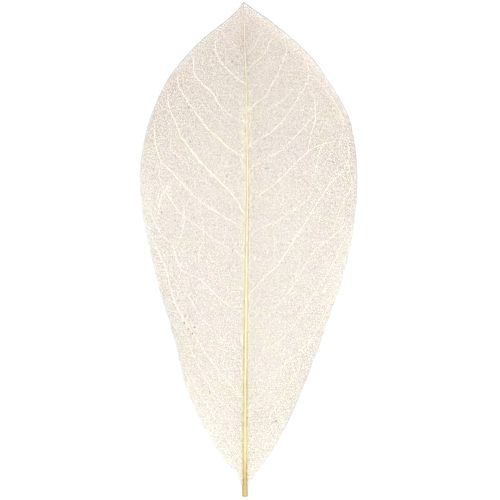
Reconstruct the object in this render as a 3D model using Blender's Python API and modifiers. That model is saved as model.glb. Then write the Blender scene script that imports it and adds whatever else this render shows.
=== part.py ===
"""A skeleton leaf that lies on its midrib: metres, +Z up, tip towards +Y, origin below the middle of its box.

The leaf is one thin blade, gently arched on each side of the midrib. The side veins stand proud of both faces.
"""

import math

import bmesh
import bpy
from mathutils import Vector

# Driving dimensions
LEAF_LENGTH = 0.100
BLADE_THICKNESS = 0.00024
ARCH_HEIGHT = 0.0012
MARGIN_HEIGHT = 0.00019
MARGIN_WAVE = 0.0004
MARGIN_WAVE_LENGTH = 0.046
TIP_RISE = 0.0011
TIP_RISE_START = 0.020
RIB_ASPECT = 1.5

# Mesh density
BLADE_ROWS = 36
BLADE_COLUMNS = 12
ROUTE_STEP = 0.0036

# The drawing: x across the leaf and y along it, in hundredths of the leaf's length
UNIT = LEAF_LENGTH / 100
BLADE_BASE = -47.4
BLADE_TIP = 50.0

# Each row of the outline: y, the left margin's x and the right margin's x
OUTLINE = [
    (-47.4, -1.4, -0.2),
    (-46.6, -1.8, 0.4),
    (-44.5, -3.0, 2.0),
    (-42.5, -4.9, 3.5),
    (-38.5, -7.5, 6.1),
    (-34.4, -9.8, 8.2),
    (-30.4, -11.6, 10.0),
    (-26.3, -13.1, 11.7),
    (-22.3, -14.1, 13.2),
    (-19.2, -14.8, 14.4),
    (-14.2, -16.3, 16.0),
    (-6.1, -18.6, 18.9),
    (2.0, -20.4, 20.8),
    (8.0, -21.5, 21.7),
    (14.1, -22.05, 22.05),
    (20.0, -21.6, 21.7),
    (26.2, -20.2, 20.5),
    (30.3, -18.6, 18.6),
    (34.3, -16.6, 16.0),
    (38.4, -13.5, 13.1),
    (42.4, -9.6, 9.0),
    (46.5, -4.4, 3.9),
    (48.5, -2.2, 1.0),
    (50.0, -1.2, -1.0),
]

# Each point of the midrib, from the stalk to the tip: x, y and half its width
MIDRIB = [
    (-0.78, -50.0, 0.66),
    (-0.87, -48.6, 0.55),
    (-0.84, -46.0, 0.57),
    (-0.82, -38.0, 0.60),
    (-0.78, -26.0, 0.60),
    (-0.6, -10.0, 0.56),
    (-0.45, 2.0, 0.49),
    (-0.3, 12.0, 0.42),
    (-0.4, 20.0, 0.38),
    (-0.5, 30.0, 0.31),
    (-0.7, 38.0, 0.26),
    (-1.0, 46.0, 0.21),
    (-1.1, 49.6, 0.18),
]

# The midrib's section, flat below: half its width and its height are 1
RIB_PROFILE = [
    (-0.8, 0.0),
    (-1.0, 0.35),
    (-0.75, 0.8),
    (-0.3, 1.0),
    (0.3, 1.0),
    (0.75, 0.8),
    (1.0, 0.35),
    (0.8, 0.0),
]

# Each side vein: its radius at the midrib and at its end, and its route outwards
SIDE_VEINS = [
    (0.24, 0.17, [(-0.7, 33.5), (-3.8, 36.0), (-6.0, 38.7), (-6.8, 41.4), (-6.5, 44.2)]),
    (0.24, 0.17, [(-0.7, 25.7), (-3.8, 27.2), (-6.2, 29.6), (-7.7, 32.1), (-10.6, 34.8), (-11.2, 38.0)]),
    (0.25, 0.17, [(-0.5, 18.5), (-3.2, 20.0), (-7.9, 23.9), (-12.6, 30.3), (-14.3, 33.0), (-14.3, 36.0)]),
    (0.26, 0.17, [(-0.4, 6.6), (-2.3, 9.7), (-7.2, 15.1), (-12.8, 21.5), (-16.0, 28.3), (-16.6, 32.6)]),
    (0.25, 0.17, [(-0.5, 4.4), (-5.9, 7.2), (-11.6, 11.4), (-17.8, 18.1), (-19.0, 21.8), (-19.1, 26.2)]),
    (0.23, 0.17, [(-0.5, -1.7), (-5.9, 1.4), (-9.3, 4.0), (-13.2, 6.9), (-16.3, 11.0), (-18.4, 15.4)]),
    (0.24, 0.17, [(-0.6, -13.4), (-5.9, -9.8), (-9.1, -6.5), (-13.5, -3.9), (-15.0, 0.0),
                  (-19.0, 5.6), (-20.2, 10.1)]),
    (0.22, 0.17, [(-0.7, -21.9), (-5.9, -17.8), (-9.1, -14.2), (-12.1, -9.4), (-13.4, -4.4)]),
    (0.24, 0.17, [(-0.8, -30.6), (-5.9, -24.7), (-11.9, -16.0), (-15.8, -8.5),
                  (-18.0, -1.3), (-20.5, 5.6)]),
    (0.23, 0.17, [(-0.8, -38.7), (-5.1, -31.6), (-9.1, -25.7), (-11.9, -19.5), (-13.1, -14.6)]),
    (0.22, 0.17, [(-0.8, -43.9), (-5.5, -36.4), (-10.3, -28.6), (-12.8, -23.0)]),
    (0.22, 0.17, [(-0.5, 35.9), (2.6, 39.0), (4.2, 42.1), (5.3, 43.9)]),
    (0.25, 0.17, [(-0.4, 28.0), (3.4, 31.1), (5.4, 34.7), (7.1, 38.7), (7.2, 41.8)]),
    (0.25, 0.17, [(-0.4, 20.7), (4.6, 23.9), (8.6, 28.8), (11.8, 34.3), (11.7, 37.4), (10.2, 39.8)]),
    (0.23, 0.17, [(-0.3, 15.7), (6.3, 20.0), (10.7, 24.4), (14.0, 27.6), (16.6, 29.5)]),
    (0.20, 0.17, [(11.9, 35.3), (14.7, 33.3), (17.0, 30.3), (19.1, 26.2), (18.7, 22.9), (18.4, 18.1)]),
    (0.24, 0.17, [(-0.3, 8.2), (3.2, 11.9), (8.3, 16.5), (12.2, 20.1), (16.4, 21.8), (19.2, 23.4)]),
    (0.20, 0.17, [(12.0, 20.0), (12.4, 23.0), (13.5, 27.2), (13.2, 30.3)]),
    (0.22, 0.17, [(-0.4, 2.6), (4.7, 5.4), (8.5, 7.6), (13.3, 11.7)]),
    (0.25, 0.17, [(-0.5, -10.0), (5.9, -3.1), (11.1, 4.8), (14.7, 10.7), (18.7, 15.6),
                  (20.3, 20.0), (19.2, 23.4)]),
    (0.23, 0.17, [(-0.6, -17.8), (7.1, -9.8), (11.7, -2.7), (16.7, 2.5), (20.2, 6.6)]),
    (0.23, 0.17, [(-0.7, -22.3), (4.7, -19.5), (8.5, -15.8), (14.0, -7.3), (17.6, -1.5), (19.4, 3.6)]),
    (0.23, 0.17, [(-0.8, -32.4), (3.8, -27.1), (7.5, -22.7), (11.5, -19.3), (14.8, -14.2), (16.6, -8.5)]),
    (0.22, 0.17, [(-0.8, -41.1), (5.5, -31.8), (9.3, -25.3), (10.9, -21.6)]),
]

LEAF_COLOR = (0.82, 0.76, 0.67, 1.0)
LEAF_ROUGHNESS = 0.8


def catmull_rom(a, b, c, d, t):
    """The point at t between b and c on a smooth curve through all four."""
    return 0.5 * (2 * b + (c - a) * t + (2 * a - 5 * b + 4 * c - d) * t**2 + (3 * b - a - 3 * c + d) * t**3)


def smooth_route(points, step):
    """Points about a step apart on a smooth curve through the given ones."""
    ends = [2 * points[0] - points[1]] + points + [2 * points[-1] - points[-2]]
    route = []
    for i in range(1, len(ends) - 2):
        count = max(1, round((ends[i + 1] - ends[i]).length / step))
        route += [catmull_rom(*ends[i - 1:i + 3], n / count) for n in range(count)]
    return route + [points[-1]]


def column(table, key, value, y):
    """A table's column read at a height y of the drawing, on a smooth curve through its rows."""
    last = len(table) - 1
    row = max((i for i in range(last) if table[i][key] <= y), default=0)
    low, high = table[row], table[row + 1]
    t = min(1.0, max(0.0, (y - low[key]) / (high[key] - low[key])))

    def slope(i):
        before, after = table[max(0, i - 1)], table[min(last, i + 1)]
        return (after[value] - before[value]) / (after[key] - before[key]) * (high[key] - low[key])

    start, end = slope(row), slope(row + 1)
    rise = high[value] - low[value]
    return low[value] + start * t + (3 * rise - 2 * start - end) * t**2 + (start + end - 2 * rise) * t**3


def midrib_x(y):
    return column(MIDRIB, 1, 0, y)


def margin_x(side, y):
    return column(OUTLINE, 0, 1 if side < 0 else 2, y)


def tip_rise(y):
    """How far the upper part of the leaf lifts off the table, in metres, at a height y of the drawing."""
    start = TIP_RISE_START / UNIT
    return TIP_RISE * max(0.0, (y - start) / (BLADE_TIP - start)) ** 1.6


def blade_height(side, across, y):
    """The height of the blade's middle surface; across runs from 0 at the midrib to 1 at the margin."""
    attached = 0.5 * RIB_ASPECT * column(MIDRIB, 1, 2, y) * UNIT
    phase = y * UNIT * 2 * math.pi / MARGIN_WAVE_LENGTH
    waves = 1 + math.sin(phase + (0.4 if side < 0 else 2.3))
    margin = MARGIN_HEIGHT + MARGIN_WAVE * waves
    width = abs(margin_x(side, y) - midrib_x(y)) / margin_x(1, TIP_RISE_START / UNIT)
    arch = ARCH_HEIGHT * width * (1 + 0.25 * math.sin(1.3 * phase + side))
    flat = attached * (1 - across) + margin * across
    return flat + arch * math.sin(math.pi * across**0.8) + tip_rise(y)


def on_blade(x, y):
    """The point of the blade's middle surface at a place of the drawing, in metres."""
    side = -1 if x < midrib_x(y) else 1
    reach = margin_x(side, y) - midrib_x(y)
    across = min(1.0, (x - midrib_x(y)) / reach)
    return Vector((x * UNIT, y * UNIT, blade_height(side, across, y)))


def leaf_material():
    material = bpy.data.materials.new("leaf_fibre")
    material.use_nodes = True
    shader = material.node_tree.nodes["Principled BSDF"]
    shader.inputs["Base Color"].default_value = LEAF_COLOR
    shader.inputs["Roughness"].default_value = LEAF_ROUGHNESS
    shader.inputs["Metallic"].default_value = 0.0
    return material


def make_blade(collection):
    """An open grid fitted to the outline and the arch, with its thickness from Solidify."""
    mesh = bpy.data.meshes.new("skeleton_leaf")
    grid = bmesh.new()
    bmesh.ops.create_grid(grid, x_segments=BLADE_COLUMNS, y_segments=BLADE_ROWS, size=1)
    for vertex in grid.verts:
        across, along = vertex.co.x, (vertex.co.y + 1) / 2
        y = BLADE_BASE + (BLADE_TIP - BLADE_BASE) * along
        side = -1 if across < 0 else 1
        x = midrib_x(y) + abs(across) * (margin_x(side, y) - midrib_x(y))
        vertex.co = Vector((x * UNIT, y * UNIT, blade_height(side, abs(across), y)))
    grid.to_mesh(mesh)
    grid.free()
    blade = bpy.data.objects.new("skeleton_leaf", mesh)
    collection.objects.link(blade)
    thickness = blade.modifiers.new("thickness", "SOLIDIFY")
    thickness.thickness = BLADE_THICKNESS
    thickness.offset = 0
    return blade


def as_mesh(curve_object, collection):
    """The curve's evaluated shape as a welded mesh object, which can take part in a union."""
    evaluated = curve_object.evaluated_get(bpy.context.evaluated_depsgraph_get())
    mesh = bpy.data.meshes.new_from_object(evaluated)
    welded = bmesh.new()
    welded.from_mesh(mesh)
    bmesh.ops.remove_doubles(welded, verts=welded.verts, dist=0.000001)
    bmesh.ops.recalc_face_normals(welded, faces=welded.faces)
    welded.to_mesh(mesh)
    welded.free()
    result = bpy.data.objects.new(curve_object.name + "_solid", mesh)
    result.matrix_world = curve_object.matrix_world
    collection.objects.link(result)
    bpy.data.objects.remove(curve_object)
    result.hide_render = True
    result.display_type = "WIRE"
    return result


def swept_curve(name, points, radii, collection):
    """A filled poly curve through the points, with a radius at each."""
    curve = bpy.data.curves.new(name, "CURVE")
    curve.dimensions = "3D"
    curve.twist_mode = "Z_UP"
    curve.use_fill_caps = True
    spline = curve.splines.new("POLY")
    spline.points.add(len(points) - 1)
    for point, place, radius in zip(spline.points, points, radii):
        point.co = (*place, 1)
        point.radius = radius
    swept = bpy.data.objects.new(name, curve)
    collection.objects.link(swept)
    return swept


def make_midrib(collection):
    """The midrib and stalk: a tapering rib with a flat underside, on which the leaf rests."""
    outline = bpy.data.curves.new("rib_section", "CURVE")
    outline.dimensions = "2D"
    section = outline.splines.new("POLY")
    section.points.add(len(RIB_PROFILE) - 1)
    section.use_cyclic_u = True
    for point, (x, height) in zip(section.points, RIB_PROFILE):
        point.co = (x, height * RIB_ASPECT, 0, 1)
    profile = bpy.data.objects.new("rib_section", outline)
    collection.objects.link(profile)
    places = [Vector((x, y, 0)) * UNIT + Vector((0, 0, tip_rise(y))) for x, y, _ in MIDRIB]
    rib = swept_curve("midrib", places, [half_width * UNIT for _, _, half_width in MIDRIB], collection)
    rib.data.bevel_mode = "OBJECT"
    rib.data.bevel_object = profile
    solid = as_mesh(rib, collection)
    bpy.data.objects.remove(profile)
    return solid


def make_side_vein(number, vein, collection):
    """One side vein: a tapering tube that runs in the blade and stands proud of both faces."""
    start_radius, end_radius, drawn = vein
    route = smooth_route([Vector(place) for place in drawn], ROUTE_STEP / UNIT)
    places = [on_blade(x, y) for x, y in route]
    taper = [start_radius + (end_radius - start_radius) * n / (len(route) - 1) for n in range(len(route))]
    tube = swept_curve(f"vein_{number:02d}", places, [radius * UNIT for radius in taper], collection)
    tube.data.bevel_depth = 1.0
    tube.data.bevel_resolution = 1
    return as_mesh(tube, collection)


def main():
    for item in list(bpy.data.objects):
        bpy.data.objects.remove(item)
    leaf_parts = bpy.data.collections.new("skeleton leaf")
    ribs = bpy.data.collections.new("ribs")
    bpy.context.scene.collection.children.link(leaf_parts)
    bpy.context.scene.collection.children.link(ribs)
    blade = make_blade(leaf_parts)
    blade.data.materials.append(leaf_material())
    make_midrib(ribs)
    for number, vein in enumerate(SIDE_VEINS):
        make_side_vein(number, vein, ribs)
    union = blade.modifiers.new("ribs", "BOOLEAN")
    union.operation = "UNION"
    union.operand_type = "COLLECTION"
    union.collection = ribs
    union.solver = "EXACT"


main()
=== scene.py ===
import math

import bmesh
import bpy
import numpy as np
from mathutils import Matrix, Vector, geometry, kdtree


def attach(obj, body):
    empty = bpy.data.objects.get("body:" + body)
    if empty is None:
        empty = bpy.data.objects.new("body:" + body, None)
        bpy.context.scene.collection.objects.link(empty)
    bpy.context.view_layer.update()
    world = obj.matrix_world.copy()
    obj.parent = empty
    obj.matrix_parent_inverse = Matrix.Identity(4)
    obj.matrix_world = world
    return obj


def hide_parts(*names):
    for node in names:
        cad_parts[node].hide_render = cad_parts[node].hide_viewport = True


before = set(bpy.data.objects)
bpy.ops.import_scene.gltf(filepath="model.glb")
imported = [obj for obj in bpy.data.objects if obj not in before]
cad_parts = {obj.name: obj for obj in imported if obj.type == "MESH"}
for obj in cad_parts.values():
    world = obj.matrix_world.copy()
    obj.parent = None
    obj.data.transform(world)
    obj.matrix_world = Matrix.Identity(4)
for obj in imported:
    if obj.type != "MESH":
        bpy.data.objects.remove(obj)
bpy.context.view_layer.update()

# The frame's sizes, in metres
LEAF_LENGTH = 0.100
ARCH_HEIGHT = 0.0012
MARGIN_HEIGHT = 0.00019
MARGIN_WAVE = 0.0004
MARGIN_WAVE_LENGTH = 0.046
TIP_RISE = 0.0011
TIP_RISE_START = 0.020

# The same solid's factors
TIP_RISE_POWER = 1.6
ARCH_SHAPE = 0.8
ARCH_SWELL = 0.25
ARCH_SWELLS_PER_WAVE = 1.3
MARGIN_PHASES = {-1: 0.4, 1: 2.3}
RIB_ASPECT = 1.5

# The drawing: x across the leaf and y along it, in hundredths of the leaf's length
UNIT = LEAF_LENGTH / 100
BLADE_BASE = -47.4
BLADE_TIP = 50.0

# The picture: its width, the leaf's length in it, and the height that the camera is set for
IMAGE_PIXELS = 500
LEAF_PIXELS = 494.5
MEAN_HEIGHT = 0.0008
CAMERA_X = 0.0002
LAMP_PLACE = (0.45, 0.5, 1.1)

# Each row of the outline: y, the left margin's x and the right margin's x
OUTLINE = [
    (-47.4, -1.4, -0.2),
    (-46.6, -1.8, 0.4),
    (-44.5, -3.0, 2.0),
    (-42.5, -4.9, 3.5),
    (-38.5, -7.5, 6.1),
    (-34.4, -9.8, 8.2),
    (-30.4, -11.6, 10.0),
    (-26.3, -13.1, 11.7),
    (-22.3, -14.1, 13.2),
    (-19.2, -14.8, 14.4),
    (-14.2, -16.3, 16.0),
    (-6.1, -18.6, 18.9),
    (2.0, -20.4, 20.8),
    (8.0, -21.5, 21.7),
    (14.1, -22.05, 22.05),
    (20.0, -21.6, 21.7),
    (26.2, -20.2, 20.5),
    (30.3, -18.6, 18.6),
    (34.3, -16.6, 16.0),
    (38.4, -13.5, 13.1),
    (42.4, -9.6, 9.0),
    (46.5, -4.4, 3.9),
    (48.5, -2.2, 1.0),
    (50.0, -1.2, -1.0),
]

# Each point of the midrib, from the stalk to the tip: x, y and half its width
MIDRIB = [
    (-0.78, -50.0, 0.66),
    (-0.87, -48.6, 0.55),
    (-0.84, -46.0, 0.57),
    (-0.82, -38.0, 0.60),
    (-0.78, -26.0, 0.60),
    (-0.6, -10.0, 0.56),
    (-0.45, 2.0, 0.49),
    (-0.3, 12.0, 0.42),
    (-0.4, 20.0, 0.38),
    (-0.5, 30.0, 0.31),
    (-0.7, 38.0, 0.26),
    (-1.0, 46.0, 0.21),
    (-1.1, 49.6, 0.18),
]

# The midrib's crest and shoulders: y, half the crest's width and half the whole width
RIB_CREST = [
    (-50.0, 0.40, 0.60),
    (-48.8, 0.34, 0.56),
    (-46.0, 0.30, 0.58),
    (-38.0, 0.26, 0.62),
    (-26.0, 0.25, 0.62),
    (-10.0, 0.23, 0.56),
    (2.0, 0.20, 0.49),
    (12.0, 0.16, 0.42),
    (20.0, 0.15, 0.38),
    (30.0, 0.13, 0.30),
    (38.0, 0.12, 0.24),
    (46.0, 0.10, 0.16),
    (49.6, 0.09, 0.13),
]

# Each side vein of the left half: its strength, and its route outwards from the midrib
LEFT_VEINS = [
    (0.45, [
        (-0.6, 38.6), (-2.4, 40.0), (-3.6, 41.4), (-5.1, 43.2), (-6.2, 44.6),
    ]),
    (0.8, [
        (-0.7, 33.5), (-2.5, 34.8), (-3.8, 36.0), (-5.2, 37.4), (-6.0, 38.7), (-6.7, 40.0),
        (-6.8, 41.4), (-6.5, 44.2),
    ]),
    (0.8, [
        (-0.7, 25.9), (-2.5, 26.5), (-3.8, 27.2), (-5.2, 28.4), (-6.2, 29.6), (-6.9, 31.1),
        (-7.7, 32.1), (-8.9, 33.1), (-9.7, 33.9), (-10.6, 34.8), (-11.1, 36.0), (-11.2, 38.0),
        (-11.0, 40.6),
    ]),
    (0.9, [
        (-0.5, 18.5), (-1.8, 19.2), (-3.2, 20.0), (-5.2, 21.5), (-6.5, 22.9), (-7.9, 23.9),
        (-8.9, 25.1), (-9.9, 26.4), (-11.3, 28.4), (-12.6, 30.3), (-13.6, 31.8), (-14.3, 33.0),
        (-14.4, 34.7), (-14.2, 36.6),
    ]),
    (1.0, [
        (-0.4, 6.6), (-1.7, 8.5), (-2.3, 9.7), (-3.5, 11.4), (-5.2, 13.1), (-7.2, 15.1), (-8.9, 16.8),
        (-10.3, 18.3), (-11.6, 20.0), (-12.8, 21.5), (-13.8, 22.9), (-14.5, 24.6), (-15.3, 26.6),
        (-16.0, 28.3), (-16.4, 30.3), (-16.5, 33.0),
    ]),
    (0.4, [
        (-7.7, 13.0), (-11.8, 16.8), (-13.3, 18.0), (-14.6, 19.2), (-15.8, 20.2), (-15.9, 22.2),
        (-15.7, 23.9),
    ]),
    (0.85, [
        (-0.5, 4.4), (-2.5, 5.3), (-4.2, 6.2), (-5.9, 7.2), (-7.9, 8.4), (-9.9, 9.9), (-11.6, 11.4),
        (-13.3, 13.3), (-15.0, 15.1), (-16.6, 16.8), (-17.8, 18.1), (-18.5, 19.8), (-19.0, 21.8),
        (-19.1, 24.2), (-19.0, 27.0),
    ]),
    (0.7, [
        (-0.5, -1.7), (-1.8, -0.9), (-3.8, 0.2), (-5.9, 1.4), (-7.9, 2.8), (-9.3, 4.0), (-11.1, 5.5),
        (-13.2, 6.9), (-14.9, 8.9), (-16.3, 11.0), (-17.7, 13.4), (-18.4, 15.4),
    ]),
    (0.65, [
        (-15.2, 14.2), (-16.6, 12.4), (-17.8, 10.4), (-18.1, 8.4), (-18.6, 6.0),
    ]),
    (0.6, [
        (-13.1, 9.3), (-13.1, 7.1), (-13.3, 4.6), (-13.9, 2.4), (-14.9, -0.2),
    ]),
    (0.55, [
        (-9.3, 6.6), (-9.2, 4.2), (-9.2, 2.0), (-9.8, 0.6), (-10.2, -1.8), (-10.0, -4.6),
    ]),
    (0.75, [
        (-0.6, -13.4), (-2.2, -12.4), (-3.8, -11.4), (-5.9, -9.8), (-7.5, -8.1), (-9.1, -6.5),
        (-10.7, -5.3), (-12.3, -4.7), (-13.5, -3.9), (-14.4, -2.1), (-15.0, 0.0), (-15.6, 1.4),
        (-17.0, 2.4), (-18.0, 3.8), (-19.0, 5.6), (-19.8, 7.6), (-20.3, 10.4),
    ]),
    (0.55, [
        (-0.7, -21.9), (-2.6, -20.1), (-4.2, -19.1), (-5.9, -17.8), (-7.5, -16.2), (-9.1, -14.2),
        (-10.7, -11.8), (-12.1, -9.4), (-12.9, -7.1), (-13.4, -4.4),
    ]),
    (0.75, [
        (-0.8, -30.6), (-2.6, -28.8), (-3.8, -27.1), (-5.9, -24.7), (-7.9, -21.9), (-9.9, -19.1),
        (-11.9, -16.0), (-13.1, -14.2), (-14.6, -11.8), (-15.8, -8.5), (-16.8, -4.1), (-18.0, -1.3),
        (-18.8, 0.8), (-20.0, 3.6), (-20.7, 5.9),
    ]),
    (0.5, [
        (-0.8, -38.7), (-2.2, -35.6), (-5.1, -31.6), (-7.1, -28.8), (-9.1, -25.7), (-10.7, -22.7),
        (-11.9, -19.5), (-13.1, -14.6),
    ]),
    (0.45, [
        (-0.8, -43.9), (-2.6, -40.9), (-5.5, -36.4), (-8.1, -31.8), (-10.3, -28.6), (-11.9, -25.5),
        (-12.9, -22.5),
    ]),
]

# The same for the right half
RIGHT_VEINS = [
    (0.6, [
        (-0.5, 39.2), (0.5, 40.4), (1.4, 41.6), (2.2, 43.3), (2.9, 45.4),
    ]),
    (0.7, [
        (-0.5, 35.9), (0.9, 37.7), (2.6, 39.0), (3.6, 40.4), (4.2, 42.1), (5.3, 44.1),
    ]),
    (0.4, [
        (-0.4, 34.2), (0.9, 35.2), (2.9, 36.3), (4.4, 37.4), (5.0, 39.0), (5.2, 40.8),
    ]),
    (0.85, [
        (-0.4, 28.0), (0.9, 29.1), (2.2, 30.2), (3.4, 31.1), (4.4, 32.8), (5.4, 34.7), (6.4, 37.0),
        (7.1, 38.7), (7.5, 40.0), (7.3, 41.6), (6.7, 43.0),
    ]),
    (0.4, [
        (-0.4, 26.2), (2.2, 27.2), (3.9, 28.4), (5.9, 29.6), (7.6, 31.1), (8.6, 32.3), (9.3, 34.0),
    ]),
    (0.8, [
        (-0.4, 20.7), (0.9, 21.8), (2.9, 22.9), (4.6, 23.9), (5.9, 25.2), (7.3, 26.9), (8.6, 28.8),
        (9.8, 30.6), (11.0, 32.6), (11.8, 34.3), (12.0, 36.0), (11.7, 37.4), (11.0, 38.9), (9.8, 40.2),
    ]),
    (0.7, [
        (-0.3, 15.7), (0.7, 16.8), (2.6, 18.0), (4.6, 19.2), (6.3, 20.0), (7.6, 21.2), (9.3, 22.9),
        (10.7, 24.4), (11.7, 25.6), (12.7, 26.6), (14.0, 27.6), (15.4, 28.6), (16.7, 29.6),
    ]),
    (0.55, [
        (11.9, 35.3), (13.3, 34.8), (14.7, 33.3), (16.0, 31.6), (17.0, 30.3), (18.2, 28.3),
        (19.1, 26.2), (19.1, 24.9), (18.7, 22.9), (18.2, 21.0), (18.4, 18.1),
    ]),
    (0.8, [
        (-0.3, 8.2), (1.6, 10.6), (3.2, 11.9), (4.9, 13.1), (6.6, 14.6), (8.3, 16.5), (10.0, 18.1),
        (11.3, 19.3), (12.2, 20.1), (14.0, 21.1), (16.4, 21.8), (18.4, 23.0),
    ]),
    (0.6, [
        (11.9, 19.8), (12.2, 21.8), (12.7, 23.9), (13.2, 25.4), (13.5, 27.2), (13.2, 30.3),
        (12.6, 32.4),
    ]),
    (0.7, [
        (15.0, 21.5), (14.2, 19.8), (13.7, 17.5), (13.3, 15.7), (13.3, 12.6),
    ]),
    (0.6, [
        (-0.4, 2.6), (1.4, 3.9), (3.0, 4.8), (4.7, 5.4), (6.5, 6.4), (8.5, 7.6), (10.3, 9.0),
        (11.9, 10.3), (13.3, 12.6),
    ]),
    (0.85, [
        (-0.5, -10.0), (0.8, -8.1), (3.4, -5.3), (5.9, -3.1), (7.9, -0.1), (9.5, 2.4), (11.1, 4.8),
        (12.5, 7.2), (13.5, 9.0), (14.7, 10.7), (16.0, 12.8), (17.0, 14.1), (18.7, 15.6), (19.4, 16.8),
        (20.1, 18.5), (20.3, 20.2), (19.8, 22.0), (18.6, 23.2),
    ]),
    (0.6, [
        (20.0, 17.9), (20.4, 15.8), (20.9, 13.6), (20.4, 12.1), (19.4, 10.4), (18.4, 8.4), (17.6, 5.9),
        (16.9, 2.7),
    ]),
    (0.55, [
        (4.7, 5.4), (4.9, 3.4), (5.2, 1.2), (5.1, -1.0), (5.4, -3.5),
    ]),
    (0.6, [
        (10.3, -1.6), (9.9, -3.6), (9.4, -5.6), (9.1, -7.3),
    ]),
    (0.6, [
        (-0.6, -17.8), (1.4, -15.6), (4.2, -12.8), (7.1, -9.8), (9.7, -6.1), (11.7, -2.7), (13.7, 0.3),
        (15.4, 1.6), (16.7, 2.5), (18.1, 3.8), (19.4, 5.0), (20.5, 7.0),
    ]),
    (0.6, [
        (-0.7, -22.3), (0.6, -21.5), (2.6, -20.5), (4.7, -19.5), (6.5, -18.0), (8.5, -15.8),
        (10.5, -13.0), (12.3, -10.2), (14.0, -7.3), (15.2, -5.7), (16.4, -3.7), (17.6, -1.5),
        (18.4, 0.8), (19.4, 3.6),
    ]),
    (0.6, [
        (-0.8, -32.4), (0.8, -31.2), (2.2, -29.4), (3.8, -27.1), (5.5, -25.1), (7.5, -22.7),
        (9.5, -21.1), (11.5, -19.3), (13.5, -16.6), (14.8, -14.2), (15.8, -11.4), (16.7, -8.0),
    ]),
    (0.5, [
        (-0.8, -41.1), (0.6, -38.5), (3.0, -35.4), (5.5, -31.8), (7.5, -28.4), (9.3, -25.3),
        (10.9, -21.6),
    ]),
    (0.45, [
        (-0.8, -45.5), (0.6, -42.1), (3.0, -38.5), (5.3, -35.4), (7.1, -32.0),
    ]),
]

# Dirt caught in the net, where the photo shows it: x, y and its size
SPECKS = [
    (-4.7, 44.4, 0.20), (-3.4, 38.0, 0.26), (-4.0, 37.1, 0.20), (8.1, 39.8, 0.22), (-12.1, 28.9, 0.28),
    (-5.7, 30.3, 0.22), (-5.7, 27.4, 0.20), (-1.4, 29.1, 0.18), (6.5, 33.7, 0.20), (3.6, 16.5, 0.32),
    (-3.3, -0.1, 0.26), (5.5, -34.6, 0.32), (1.0, -40.9, 0.24), (-11.8, 21.8, 0.38),
    (-12.5, 13.7, 0.26), (-14.4, 17.1, 0.24), (-4.4, 14.9, 0.26), (-3.8, 17.8, 0.20),
    (-10.8, -0.3, 0.24), (-11.2, 6.5, 0.24), (-15.0, 5.9, 0.20), (-1.0, 14.1, 0.26), (1.8, 15.3, 0.20),
    (8.4, 8.7, 0.22), (17.4, 21.1, 0.24), (-17.6, 7.6, 0.30), (-11.1, -8.9, 0.24),
    (-12.0, -13.4, 0.30), (-13.1, -14.8, 0.34), (-12.3, -15.9, 0.42), (-11.0, -15.6, 0.34),
    (-11.4, -16.8, 0.32), (-12.9, -13.3, 0.26), (-8.0, -28.6, 0.24), (-0.6, 24.2, 0.18),
    (5.1, -6.7, 0.20), (2.8, -8.6, 0.20), (-1.0, -10.3, 0.22),
]

# The net of fine veins, in millimetres
CELL_PITCH = 0.37
QUATERNARY_PITCH = 1.1
TERTIARY_PITCH = 3.0
STRAND_HALF_WIDTHS = (0.056, 0.060, 0.070)
STRAND_HALF_HEIGHTS = (0.046, 0.058, 0.080)
SEED_JITTER = 0.36
SHORTEST_EDGE = 0.03
WIDEST_CELL = 2.0 * CELL_PITCH
BORDER_GAP = 0.42 * CELL_PITCH
MIRROR_REACH = 2.2 * CELL_PITCH
RIB_OVERLAP = 0.2
NET_RELIEF = 0.014
NET_SPLIT_Y = 7.0

# How far the meshes fill in: more where the blade lies low, and some with a short spur
CELL_FILL = (0.9, 1.3)
LOW_FILL = 0.7
LOW_HEIGHT = 0.9
LOW_FROM_MARGIN = 2.0
SPUR_CHANCE = 0.07
SPUR_REACH = 0.45

# The net's shades: the contrast of its random tones, and how far in from the margin its painted grey shade
# reaches, in millimetres
TONE_CONTRAST = 1.1
RIM_SHADE_WIDTH = 0.7

# Veins, in millimetres
VEIN_RADIUS = 0.105
VEIN_END_RADIUS = 0.062
VEIN_FADE = 4.0
VEIN_STEP = 0.35
VEIN_SWAY = 0.012
VEIN_TAPER = 0.7
MARGIN_RADIUS = 0.10
MARGIN_POINTS = 420

# The midrib: its first and last ring, the end of the finer stalk, and the cut end, in millimetres
RIB_START = -49.8
RIB_END = 49.9
STALK_END = -44
CUT_LIP = -49.75
CUT_END = -50.0
RIB_SIDES = 27
FLAT_SIDES = 5
FIBRES_PER_SIDE = 12
FIBRE_RADIUS = 0.045
SPECK_SCALE = 0.85

random = np.random.default_rng(7)


def column(table, key, value, y):
    """A table's column read at heights y of the drawing, on a smooth curve through its rows."""
    keys = np.array([row[key] for row in table])
    values = np.array([row[value] for row in table])
    slopes = np.empty_like(values)
    slopes[1:-1] = (values[2:] - values[:-2]) / (keys[2:] - keys[:-2])
    slopes[0] = (values[1] - values[0]) / (keys[1] - keys[0])
    slopes[-1] = (values[-1] - values[-2]) / (keys[-1] - keys[-2])
    low = np.clip(np.searchsorted(keys, y, side="right") - 1, 0, len(keys) - 2)
    span = keys[low + 1] - keys[low]
    t = np.clip((y - keys[low]) / span, 0, 1)
    start, end, rise = slopes[low] * span, slopes[low + 1] * span, values[low + 1] - values[low]
    return values[low] + start * t + (3 * rise - 2 * start - end) * t**2 + (start + end - 2 * rise) * t**3


def midrib_x(y):
    return column(MIDRIB, 1, 0, y)


def margin_x(side, y):
    return column(OUTLINE, 0, 1 if side < 0 else 2, y)


def tip_rise(y):
    start = TIP_RISE_START / UNIT
    return TIP_RISE * np.maximum(0.0, (y - start) / (BLADE_TIP - start)) ** TIP_RISE_POWER


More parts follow.
